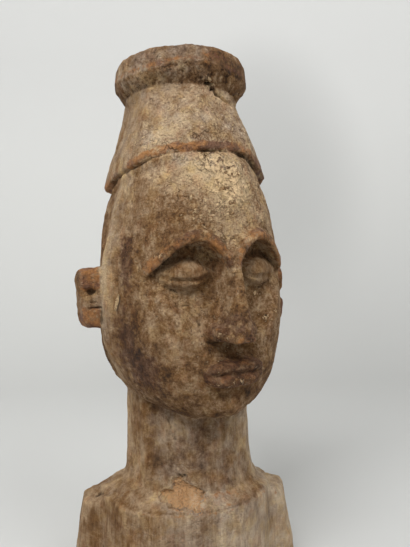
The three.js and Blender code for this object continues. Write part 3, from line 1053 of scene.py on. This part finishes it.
def cavity_mask(surface, fine, broad):
    """Dirt and painted shade in the hollows and the cracks, with hardly any in the fresh chip."""
    cracks = (RIM_CRACK[:6], 0.5), (moved(TEMPLE_CUT, 1.9, 0), 0.5), (NECK_SCAR, 0.4)
    # Painted shade and grime, darkest where the surface lies below its surroundings
    hollow = 0.55 * ramp(-fine, 0.03, 0.15) + 0.55 * ramp(-broad, 0.2, 0.9)
    hollow *= 1 - 0.9 * surface.spot(-31, 39.5, 22, 8)
    lines = [line(surface.from_path(path), half) for path, half in cracks]
    return np.maximum.reduce([hollow, *lines])


def worn_mask(surface, zone, face, ridge, patchy, blotch):
    """Rubbed wood on ridges, the cap's lip, the rim, the collar, the ears, the brows and the lips."""
    points = surface.points
    degrees = np.degrees(surface.angle)
    wave = 0.6 * clouds(points, 4.0, 65) + 0.4 * clouds(points, 1.7, 66)
    lip = line(zone.over_edge - 1.2 + wave, 1.5, 4) * ramp(surface.out, 18, 21)
    lip *= 1 - 0.7 * ramp(degrees, -63, -69) * ramp(degrees, -120, -80)
    rim_line = line(zone.above_worn - 0.9, 1.1) * zone.rim
    collar_line = line(surface.from_path(COLLAR_FRONT), 0.8)
    ears = 0.3 + 0.5 * ramp(np.abs(surface.height - 100), 1, 4) + 0.6 * blotch
    return np.maximum.reduce(
        [
            ridge * (0.45 + 0.3 * patchy),
            lip * (0.9 + 0.25 * patchy + 0.35 * blotch),
            rim_line * (0.5 + 0.6 * blotch),
            0.45 * collar_line + 0.15 * surface.spot(28, 37.6, 12, 2.2),
            0.45 * zone.rim * surface.spot(6, 171.5, 9, 3.4),
            zone.ears * ears * ramp(37.2 - np.abs(points[:, 0]), 0, 1.6),
            face.brow * (0.55 + 0.6 * patchy),
            0.45 * face.lips * (0.6 + blotch),
        ]
    )


def stain_mask(surface, plan, face, patchy):
    """Dark stains on the right cheek, the nose, the lips, the brows and in the neck's groove."""
    cheek = np.maximum.reduce(
        [
            0.95 * surface.spot(-57, 112, 4, 12),
            surface.spot(-60, 88, 7, 14),
            surface.spot(-48, 80, 8, 9),
        ]
    )
    return np.maximum.reduce(
        [
            cheek * (0.75 + 0.6 * patchy),
            0.62 * face.nose * ramp(surface.height, plan.nose + 13, plan.nose + 6),
            0.72 * face.lips,
            0.6 * line(surface.from_path(NECK_GROOVE), 1.2) * (0.8 + patchy),
            0.55 * face.brow * (0.8 - patchy),
        ]
    )


def crust_mask(surface, zone):
    """Crust, and the pale slivers at the temple, the rim's crack and the chip's tips."""
    sliver = line(surface.from_path(TEMPLE_CUT), 0.65)
    splinter = line(surface.from_path(moved(RIM_CRACK[:5], -3, 1.1)), 0.8)
    tips = sum(line(surface.from_path(path), 0.6) for path in CHIP_TIPS)
    return crust_patches(surface, zone) + 1.1 * sliver + 0.5 * splinter + 0.55 * tips


def crumbly_mask(surface, zone, lids, patchy):
    """Where the wood's skin has broken into crumbs."""
    degrees = np.degrees(surface.angle)
    crumbly = 0.12 + 0.45 * zone.under_rim + 0.15 * zone.ears + 0.15 * zone.neck
    crumbly += zone.cap * (0.5 * ramp(degrees, -58, -50) + 0.15 * ramp(surface.height, 154, 149))
    crumbly += 0.46 * zone.head * ramp(np.abs(degrees), 70, 55)
    crumbly += 0.3 * patchy * (1 - zone.shoulders) + 0.65 * surface.spot(14, 131, 24, 18)
    return crumbly * (1 - lids)


def smooth_mask(surface, zone, lids):
    """Where the wood is planed or handled smooth, so that its grain shows."""
    cap_side = ramp(np.degrees(surface.angle), -50, -58)
    smooth = 0.9 * zone.shoulders + 0.5 * zone.neck + zone.cap * (0.3 + 0.7 * cap_side) + lids
    temple = surface.spot(-80, 106, 9, 40) + 0.6 * surface.spot(-34, 132, 16, 12)
    return smooth + temple * zone.head


def grey_mask(surface, zone, patchy, blotch):
    """Where the wood has weathered grey."""
    degrees = np.degrees(surface.angle)
    chest = 0.2 + 0.45 * ramp(degrees, -55, -25) - 0.5 * surface.spot(30, 37.5, 12, 3)
    temple = 0.35 * surface.spot(-78, 104, 7, 40) + 0.05 * ramp(surface.height, 118, 126)
    grey = 0.55 * zone.neck * (ramp(degrees, -70, -50) + 0.6 * ramp(degrees, 45, 65))
    grey += 0.4 * zone.cap + chest * zone.shoulders + temple * zone.head
    grey += zone.rim * (0.6 - 0.6 * ramp(degrees, -5, 15) - 0.3 * zone.under_rim)
    return grey + 0.4 * surface.spot(-14, 139, 16, 5) + 0.4 * blotch + 0.2 * patchy


def wear_masks(surface, cap, head):
    """Tone, and where grime with painted shade, stains, crust, greying and rubbing lie on the finished
    surface.
    """
    zone = zones(surface, cap, head)
    plan = face_plan(head, cap)
    face = face_shares(surface, plan)
    height = surface.height
    fine = surface.proud(3)
    broad = surface.proud(25)
    patchy = rough(surface.points, 7, 61)
    blotch = rough(surface.points, 3.2, 63)
    ridge = ramp(fine, 0.02, 0.1) * 0.5 + ramp(broad, 0.25, 0.8) * 0.4
    left_cap = ramp(np.degrees(surface.angle), -25, 5) * (height > 120)
    return {
        "cavity": cavity_mask(surface, fine, broad),
        "tone": tones(surface, zone, ridge),
        "worn": worn_mask(surface, zone, face, ridge, patchy, blotch),
        "rust": 0.3 + 0.7 * blotch + 0.45 * left_cap + 0.22 * zone.ears,
        "stain": stain_mask(surface, plan, face, patchy),
        "crust": crust_mask(surface, zone),
        "crumbly": crumbly_mask(surface, zone, face.lids, patchy),
        "smooth": smooth_mask(surface, zone, face.lids),
        "grey": grey_mask(surface, zone, patchy, blotch),
        "raw": surface.inside(CHIP, CHIP_WANDER) * ramp(height, 34.2, 34.8),
    }


# Materials

TONE_STOPS = (
    (0.06, "cream"),
    (0.3, "tan"),
    (0.47, "fawn"),
    (0.63, "brown"),
    (0.8, "umber"),
    (1.0, "black"),
)


def node(tree, kind, inputs=None, **settings):
    """Adds a shader node, with its settings, and its inputs as values or as links."""
    made = tree.nodes.new(kind)
    for key, value in settings.items():
        setattr(made, key, value)
    for key, value in (inputs or {}).items():
        if isinstance(value, bpy.types.NodeSocket):
            tree.links.new(value, made.inputs[key])
        else:
            made.inputs[key].default_value = value
    return made


def new_group(name, inputs, outputs):
    """An empty node group with float inputs and outputs, and its two end nodes."""
    tree = bpy.data.node_groups.new(name, "ShaderNodeTree")
    for label, default in inputs.items():
        kind = "NodeSocketVector" if isinstance(default, tuple) else "NodeSocketFloat"
        socket = tree.interface.new_socket(label, in_out="INPUT", socket_type=kind)
        socket.default_value = default
    for label in outputs:
        tree.interface.new_socket(label, in_out="OUTPUT", socket_type="NodeSocketFloat")
    return tree, tree.nodes.new("NodeGroupInput"), tree.nodes.new("NodeGroupOutput")


def math_node(tree, operation, a, b=0.0, clamp=False):
    return node(tree, "ShaderNodeMath", {0: a, 1: b}, operation=operation, use_clamp=clamp).outputs[0]


def times(tree, a, b):
    return math_node(tree, "MULTIPLY", a, b)


def plus(tree, first, *others):
    for other in others:
        first = math_node(tree, "ADD", first, other)
    return first


def mask(tree, name):
    """A value stored on the surface."""
    return node(tree, "ShaderNodeAttribute", attribute_name=name).outputs["Fac"]


def noise(tree, vector, scale=1.0, detail=3.0, roughness=0.55, distortion=0.0):
    inputs = {
        "Vector": vector,
        "Scale": scale,
        "Detail": detail,
        "Roughness": roughness,
        "Distortion": distortion,
    }
    return node(tree, "ShaderNodeTexNoise", inputs).outputs["Fac"]


def stretched(tree, vector, scale):
    return node(tree, "ShaderNodeVectorMath", {0: vector, 1: scale}, operation="MULTIPLY").outputs[0]


def blend(tree, below, above, share, kind="MIX"):
    """Lays one colour over another by a share, or multiplies by it."""
    made = node(tree, "ShaderNodeMix", data_type="RGBA", blend_type=kind)
    for socket, value in (("A_Color", below), ("B_Color", above), ("Factor_Float", share)):
        target = next(s for s in made.inputs if s.identifier == socket)
        if isinstance(value, bpy.types.NodeSocket):
            tree.links.new(value, target)
        else:
            target.default_value = (*value, 1.0)
    return next(s for s in made.outputs if s.identifier == "Result_Color")


def layered(tree, base, layers):
    """Lays colours over a base in order, each by its share and its kind of blend."""
    for above, share, kind in layers:
        base = blend(tree, base, above, share, kind)
    return base


def step(tree, value, low, high):
    inputs = {"Value": value, "From Min": low, "From Max": high}
    made = node(tree, "ShaderNodeMapRange", inputs, interpolation_type="SMOOTHSTEP")
    return made.outputs["Result"]


def plain_material(name, specular):
    """A new material with its tree, its shader and the coordinates of the object."""
    material = bpy.data.materials.new(name)
    material.use_nodes = True
    tree = material.node_tree
    shader = tree.nodes["Principled BSDF"]
    shader.inputs["Specular IOR Level"].default_value = specular
    return material, tree, shader, node(tree, "ShaderNodeTexCoord").outputs["Object"]


def patch_group():
    """Breaks a soft mask into ragged patches."""
    inputs = {"Place": (0.0, 0.0, 0.0), "Mask": 0.0, "Scale": 900.0, "Ragged": 0.6, "Soft": 0.12}
    tree, start, end = new_group("Ragged patch", inputs, ["Patch"])
    soft = start.outputs["Soft"]
    scale = start.outputs["Scale"]
    grain = noise(tree, start.outputs["Place"], scale, detail=4.0, roughness=0.65)
    offset = times(tree, math_node(tree, "SUBTRACT", grain, 0.5), start.outputs["Ragged"])
    moved_mask = plus(tree, start.outputs["Mask"], times(tree, offset, 2.0))
    low = math_node(tree, "SUBTRACT", 0.5, soft)
    high = math_node(tree, "ADD", 0.5, soft)
    tree.links.new(step(tree, moved_mask, low, high), end.inputs["Patch"])
    return tree


def grain_group():
    """Upright fibres and dark open pores."""
    tree, start, end = new_group("Upright grain", {"Place": (0.0, 0.0, 0.0)}, ["Fibres", "Pores"])
    vector = start.outputs["Place"]
    fibres = noise(tree, stretched(tree, vector, (1500, 1500, 220)), roughness=0.6)
    pores = noise(tree, stretched(tree, vector, (2100, 2100, 420)), detail=2.0, roughness=0.5)
    tree.links.new(step(tree, fibres, 0.3, 0.7), end.inputs["Fibres"])
    tree.links.new(step(tree, pores, 0.62, 0.74), end.inputs["Pores"])
    return tree


def crackle(tree, vector, where):
    """Hair cracks along the edges of small plates, in scattered patches."""
    inputs = {"Vector": vector, "Scale": 500.0, "Detail": 3.0}
    wander = node(tree, "ShaderNodeTexNoise", inputs).outputs["Color"]
    wander = stretched(tree, wander, (0.0025,) * 3)
    bent = node(tree, "ShaderNodeVectorMath", {0: vector, 1: wander}, operation="ADD").outputs[0]
    inputs = {"Vector": stretched(tree, bent, (1.0, 1.0, 0.55)), "Scale": 230.0}
    gap = node(tree, "ShaderNodeTexVoronoi", inputs, feature="DISTANCE_TO_EDGE").outputs["Distance"]
    patches = noise(tree, vector, scale=150.0, detail=2.0)
    there = times(tree, step(tree, where, 0.6, 0.95), step(tree, patches, 0.46, 0.6))
    return times(tree, step(tree, gap, 0.035, 0.0), there)


def wood_effects(tree, vector):
    """Noises and broken-up masks, for the marks on the wood: in its tone, colours and bumps."""
    patch = patch_group()

    def broken(name, scale, spread, soft):
        """A stored mask, broken into ragged patches."""
        inputs = {"Place": vector, "Mask": mask(tree, name), "Scale": scale, "Ragged": spread, "Soft": soft}
        return node(tree, "ShaderNodeGroup", inputs, node_tree=patch).outputs["Patch"]

    marks = SimpleNamespace()
    grain = node(tree, "ShaderNodeGroup", {"Place": vector}, node_tree=grain_group())
    bare = math_node(tree, "SUBTRACT", 1.0, mask(tree, "crumbly"), clamp=True)
    marks.fibres = grain.outputs["Fibres"]
    marks.pores = times(tree, grain.outputs["Pores"], bare)
    marks.crumbs = noise(tree, vector, scale=1500.0, detail=3.0, roughness=0.7)
    marks.mottle = noise(tree, vector, scale=420.0, detail=5.0, roughness=0.66)
    marks.rough_share = plus(tree, times(tree, mask(tree, "smooth"), -0.6), 1.0)
    crusty = step(tree, mask(tree, "crust"), 0.03, 0.12)
    crust = times(tree, broken("crust", scale=420.0, spread=1.25, soft=0.1), crusty)
    holes = step(tree, noise(tree, vector, scale=850.0, detail=3.0, roughness=0.6), 0.4, 0.5)
    marks.pitted = times(tree, crust, math_node(tree, "SUBTRACT", 1.0, holes))
    marks.crust = times(tree, crust, holes)
    specks = noise(tree, vector, scale=1300.0, detail=3.0, roughness=0.65)
    marks.specks = times(tree, step(tree, specks, 0.58, 0.72), marks.rough_share)
    marks.cracks = crackle(tree, vector, mask(tree, "crumbly"))
    marks.grey = broken("grey", scale=240.0, spread=0.6, soft=0.4)
    marks.stain = times(tree, broken("stain", scale=520.0, spread=0.9, soft=0.28), 0.85)
    marks.worn = broken("worn", scale=620.0, spread=0.9, soft=0.25)
    marks.rust = broken("rust", scale=500.0, spread=1.0, soft=0.3)
    marks.raw = broken("raw", scale=1500.0, spread=0.12, soft=0.2)
    # Grime and painted shade in the hollows and the cracks, broken into patches
    marks.dirt = broken("cavity", scale=800.0, spread=0.4, soft=0.4)
    return marks


def wood_tone(tree, vector, marks):
    """The stored tone with crumbs, mottle, clouds, fibres, bands, pores and crust on it."""
    flattened = stretched(tree, vector, (170, 170, 110))
    clouding = noise(tree, flattened, detail=4.0, roughness=0.6, distortion=0.4)
    bands = noise(tree, stretched(tree, vector, (420, 420, 38)))
    fibre_share = plus(tree, times(tree, mask(tree, "smooth"), 0.1), 0.05)

    def swing(value, strength):
        """A noise as a change of tone, as much darker as paler."""
        return times(tree, math_node(tree, "SUBTRACT", value, 0.5), strength)

    return plus(
        tree,
        mask(tree, "tone"),
        times(tree, swing(marks.crumbs, 1.25), mask(tree, "crumbly")),
        times(tree, swing(marks.mottle, 1.25), marks.rough_share),
        swing(clouding, 0.95),
        swing(marks.fibres, fibre_share),
        times(tree, swing(bands, 0.34), mask(tree, "smooth")),
        times(tree, marks.pores, 0.12),
        times(tree, marks.crust, -0.1),
        times(tree, marks.pitted, 0.14),
    )


def wood_colour(tree, vector, colours, tone, marks):
    """The tone's colour under greying, stains, clouds of colour, crust, rubbed edges, and grime with
    painted shade in the hollows.
    """
    ramp_node = node(tree, "ShaderNodeValToRGB", {"Fac": tone})
    stops = ramp_node.color_ramp.elements
    ends = {"cream": 0, "black": -1}
    for position, name in TONE_STOPS:
        stop = stops[ends[name]] if name in ends else stops.new(position)
        stop.position = position
        stop.color = (*getattr(colours, name), 1.0)
    grey = plus(tree, times(tree, marks.grey, -0.24), 1.0)
    inputs = {"Color": ramp_node.outputs["Color"], "Saturation": grey}
    base = node(tree, "ShaderNodeHueSaturation", inputs).outputs["Color"]
    ochre = step(tree, noise(tree, vector, scale=190.0, detail=4.0, roughness=0.6), 0.46, 0.62)
    reddish = noise(tree, stretched(tree, vector, (260, 260, 160)), roughness=0.6)
    reddish = step(tree, reddish, 0.52, 0.68)
    fresh = plus(tree, times(tree, step(tree, marks.crumbs, 0.62, 0.42), 0.55), 0.35)
    layers = (
        (colours.stain, marks.stain, "MULTIPLY"),
        (colours.ochre, times(tree, ochre, 0.7), "MULTIPLY"),
        (colours.reddish, times(tree, reddish, 0.6), "MULTIPLY"),
        (colours.crust, times(tree, marks.crust, times(tree, marks.crumbs, 1.5)), "MIX"),
        (blend(tree, colours.worn, colours.rust, marks.rust), times(tree, marks.worn, 0.8), "MIX"),
        (colours.raw, times(tree, marks.raw, fresh), "MIX"),
        (colours.black, times(tree, marks.specks, 0.55), "MIX"),
        # Black grime and painted shade in the hollows and the cracks
        (colours.black, times(tree, marks.dirt, 0.8), "MIX"),
        (colours.umber, times(tree, marks.cracks, 0.85), "MIX"),
    )
    return layered(tree, base, layers)


def weathered_wood(colours):
    """Dry carved wood, mottled and dull, with crumbs, pits and cracks that catch the light."""
    material, tree, shader, vector = plain_material("weathered_wood", 0.35)
    marks = wood_effects(tree, vector)
    base = wood_colour(tree, vector, colours, wood_tone(tree, vector, marks), marks)
    tree.links.new(base, shader.inputs["Base Color"])
    shine = math_node(tree, "SUBTRACT", 0.9, times(tree, marks.worn, 0.25))
    shine = math_node(tree, "SUBTRACT", shine, times(tree, marks.stain, 0.2))
    tree.links.new(shine, shader.inputs["Roughness"])
    height = plus(
        tree,
        times(tree, marks.fibres, -0.25),
        times(tree, marks.crumbs, 1.5),
        times(tree, marks.mottle, 1.6),
        times(tree, marks.crust, 0.5),
        times(tree, marks.specks, -0.6),
        times(tree, marks.pores, -0.25),
        times(tree, marks.cracks, -0.9),
    )
    bump = node(tree, "ShaderNodeBump", {"Strength": 1.0, "Distance": 0.00065, "Height": height})
    tree.links.new(bump.outputs["Normal"], shader.inputs["Normal"])
    return material


def pale_paper(look):
    """Matte paper with painted shade: darker behind the bust and low on the right, with a painted soft
    shadow on the wall behind the cap.
    """
    material, tree, shader, vector = plain_material("pale_paper", 0.2)
    shader.inputs["Roughness"].default_value = 0.9
    height = node(tree, "ShaderNodeSeparateXYZ", {"Vector": vector}).outputs["Z"]
    across = (math.cos(look.azimuth), math.sin(look.azimuth), 0.0)
    ahead = (-math.sin(look.azimuth), math.cos(look.azimuth), 0.0)
    side, depth = (
        node(tree, "ShaderNodeVectorMath", {0: vector, 1: way}, operation="DOT_PRODUCT").outputs["Value"]
        for way in (across, ahead)
    )

    def away(value, middle, reach):
        """Square of the distance from a middle, as a share of a reach."""
        share = math_node(tree, "DIVIDE", math_node(tree, "SUBTRACT", value, middle), reach)
        return math_node(tree, "POWER", math_node(tree, "ABSOLUTE", share), 2.0)

    # Painted shade: the paper is darker behind the bust and low on the right
    cloud = times(tree, noise(tree, vector, scale=5.0, detail=3.0), 0.05)
    behind = plus(tree, step(tree, depth, -0.02, 0.26), cloud)
    low_right = times(tree, step(tree, side, -0.12, 0.18), step(tree, height, 0.35, -0.1))
    # A painted soft shadow on the wall behind the cap
    from_shadow = plus(tree, away(side, 0.1, 0.15), away(height, 0.2, 0.2))
    shadow = times(tree, step(tree, from_shadow, 1.0, 0.0), step(tree, depth, 0.2, 0.4))
    layers = (
        (look.far_colour, behind, "MIX"),
        (look.wall_colour, step(tree, height, 0.1, 0.4), "MIX"),
        ((look.side_shade,) * 3, low_right, "MULTIPLY"),
        ((look.soft_shadow,) * 3, shadow, "MULTIPLY"),
    )
    tree.links.new(layered(tree, look.floor_colour, layers), shader.inputs["Base Color"])
    return material


# Operators, with the places of the lamps in metres

KEY_PLACE = (-0.85, -0.70, 1.25)
KEY_WIDTH = 0.9
FILL_PLACE = (0.4, -1.0, 1.15)
FILL_WIDTH = 0.7
LAMP_AIM = (0, 0, 0.09)
SKY_COLOUR = (1.0, 0.995, 0.98, 1.0)
SENSOR_WIDTH = 36
WALL_TOP = 0.6
BOWL_STEPS = 16


class CarveBust(bpy.types.Operator):
    """Models the bust from its forms, carves and wears its surface, and gives it its wood"""

    bl_idname = "bust.carve"
    bl_label = "Carve bust"

    def execute(self, context):
        shoulder, neck, head, cap, depths = (
            sizes_of(f"bust_{part}") for part in ("shoulders", "neck", "head", "cap", "carving")
        )
        pieces = [
            *shoulders(shoulder, neck),
            neck_column(neck),
            head_ball(head, cap),
            ear(head, RIGHT, head.right_ear),
            ear(head, LEFT, head.left_ear),
            cap_bell(cap),
            rim_ring(cap),
        ]
        bust = join(pieces, "bust")
        surface = Surface(bust)
        sharper_left = 1 - 0.8 * ramp(np.degrees(surface.angle), 50, 75)
        softened = zones(surface, cap, head).shoulders * ramp(surface.height, 1, 4)
        soften(surface, softened * sharper_left, rounds=7)
        carve_ears(surface, head)
        carve_folds(surface, zones(surface, cap, head))
        carve_chip(surface)
        carve_surface(surface, zones(surface, cap, head), depths)
        raise_crust(surface, zones(surface, cap, head), depths)
        ratio = depths.most_triangles / (2 * len(bust.data.polygons))
        if ratio < 1:
            apply(bust, "DECIMATE", ratio=ratio)
        cut_base()
        bpy.ops.object.shade_smooth()
        for name, values in wear_masks(Surface(bust), cap, head).items():
            store(bust, name, values)
        bust.data.materials.clear()
        bust.data.materials.append(weathered_wood(context.scene.bust_colours))
        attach(bust, "root")
        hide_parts("carved_bust")
        return {"FINISHED"}


class SetStage(bpy.types.Operator):
    """Makes the pale floor that curves up all round, the camera and the soft lamps"""

    bl_idname = "bust.set_stage"
    bl_label = "Set stage"

    def execute(self, context):
        look = context.scene.bust_stage
        self.floor(look)
        self.camera(look)
        self.lamp("key_lamp", KEY_PLACE, KEY_WIDTH, look.key)
        self.lamp("fill_lamp", FILL_PLACE, FILL_WIDTH, look.fill)
        world = bpy.data.worlds.new("even_light")
        world.use_nodes = True
        sky = world.node_tree.nodes["Background"]
        sky.inputs["Color"].default_value = SKY_COLOUR
        sky.inputs["Strength"].default_value = look.sky
        context.scene.world = world
        context.scene.view_settings.view_transform = "Standard"
        return {"FINISHED"}

    def floor(self, look):
        bpy.ops.object.select_all(action="DESELECT")
        bpy.ops.mesh.primitive_circle_add(vertices=128, radius=look.floor_radius, fill_type="NGON")
        piece = bpy.context.object
        piece.name = "floor"
        bpy.ops.object.mode_set(mode="EDIT")
        bpy.ops.mesh.select_mode(type="EDGE")
        bpy.ops.mesh.select_all(action="SELECT")
        bpy.ops.mesh.region_to_loop()
        radius, height = look.floor_radius, 0.0
        rings = []
        for k in range(1, BOWL_STEPS + 1):
            bend = math.pi / 2 * k / BOWL_STEPS
            wide = look.floor_radius + look.bowl_radius * math.sin(bend)
            rings.append((wide, look.bowl_radius * (1 - math.cos(bend))))
        rings.append((rings[-1][0], WALL_TOP))
        for wide, high in rings:
            bpy.ops.mesh.extrude_edges_move(TRANSFORM_OT_translate={"value": (0, 0, high - height)})
            bpy.ops.transform.resize(value=(wide / radius, wide / radius, 1), center_override=(0, 0, 0))
            radius, height = wide, high
        bpy.ops.object.mode_set(mode="OBJECT")
        bpy.ops.object.shade_smooth()
        piece.data.materials.append(pale_paper(look))

    def camera(self, look):
        bpy.ops.object.camera_add()
        piece = bpy.context.object
        piece.name = "camera"
        piece.data.lens = look.lens
        piece.data.sensor_width = SENSOR_WIDTH
        piece.data.clip_start = 0.01
        across = Vector((math.cos(look.azimuth), math.sin(look.azimuth), 0))
        ahead = Vector((-math.sin(look.azimuth), math.cos(look.azimuth), 0))
        level = ahead * math.cos(look.yaw) - across * math.sin(look.yaw)
        right = across * math.cos(look.yaw) + ahead * math.sin(look.yaw)
        view = level * math.cos(look.pitch) - Vector((0, 0, math.sin(look.pitch)))
        up = right.cross(view)
        rolled = right * math.cos(look.roll) + up * math.sin(look.roll)
        upright = up * math.cos(look.roll) - right * math.sin(look.roll)
        turned = Matrix((rolled, upright, -view)).transposed().to_4x4()
        eye = -ahead * look.camera_distance
        eye.z = look.camera_height
        piece.matrix_world = Matrix.Translation(eye) @ turned
        bpy.context.scene.camera = piece

    def lamp(self, name, location, size, power):
        bpy.ops.object.light_add(type="AREA", location=location)
        piece = bpy.context.object
        piece.name = name
        piece.data.shape = "DISK"
        piece.data.size = size
        piece.data.energy = power
        piece.visible_camera = False
        aim = Vector(LAMP_AIM) - Vector(location)
        piece.rotation_euler = aim.to_track_quat("-Z", "Y").to_euler()


class BustPanel(bpy.types.Panel):
    """Lists the bust's sizes and colours, and the buttons that make it"""

    bl_idname = "VIEW3D_PT_carved_bust"
    bl_label = "Carved bust"
    bl_space_type = "VIEW_3D"
    bl_region_type = "UI"
    bl_category = "Bust"

    def draw(self, context):
        for key, group in GROUPS.items():
            box = self.layout.box()
            box.label(text=group.__doc__)
            for name in group.__annotations__:
                box.prop(getattr(context.scene, key), name)
        self.layout.operator(CarveBust.bl_idname)
        self.layout.operator(SetStage.bl_idname)


CLASSES = (*GROUPS.values(), CarveBust, SetStage, BustPanel)


def register():
    for item in CLASSES:
        bpy.utils.register_class(item)
    for key, group in GROUPS.items():
        setattr(bpy.types.Scene, key, bpy.props.PointerProperty(type=group))


def unregister():
    for key in GROUPS:
        delattr(bpy.types.Scene, key)
    for item in reversed(CLASSES):
        bpy.utils.unregister_class(item)


def main():
    register()
    bpy.ops.bust.carve()
    bpy.ops.bust.set_stage()


if __name__ == "__main__":
    main()
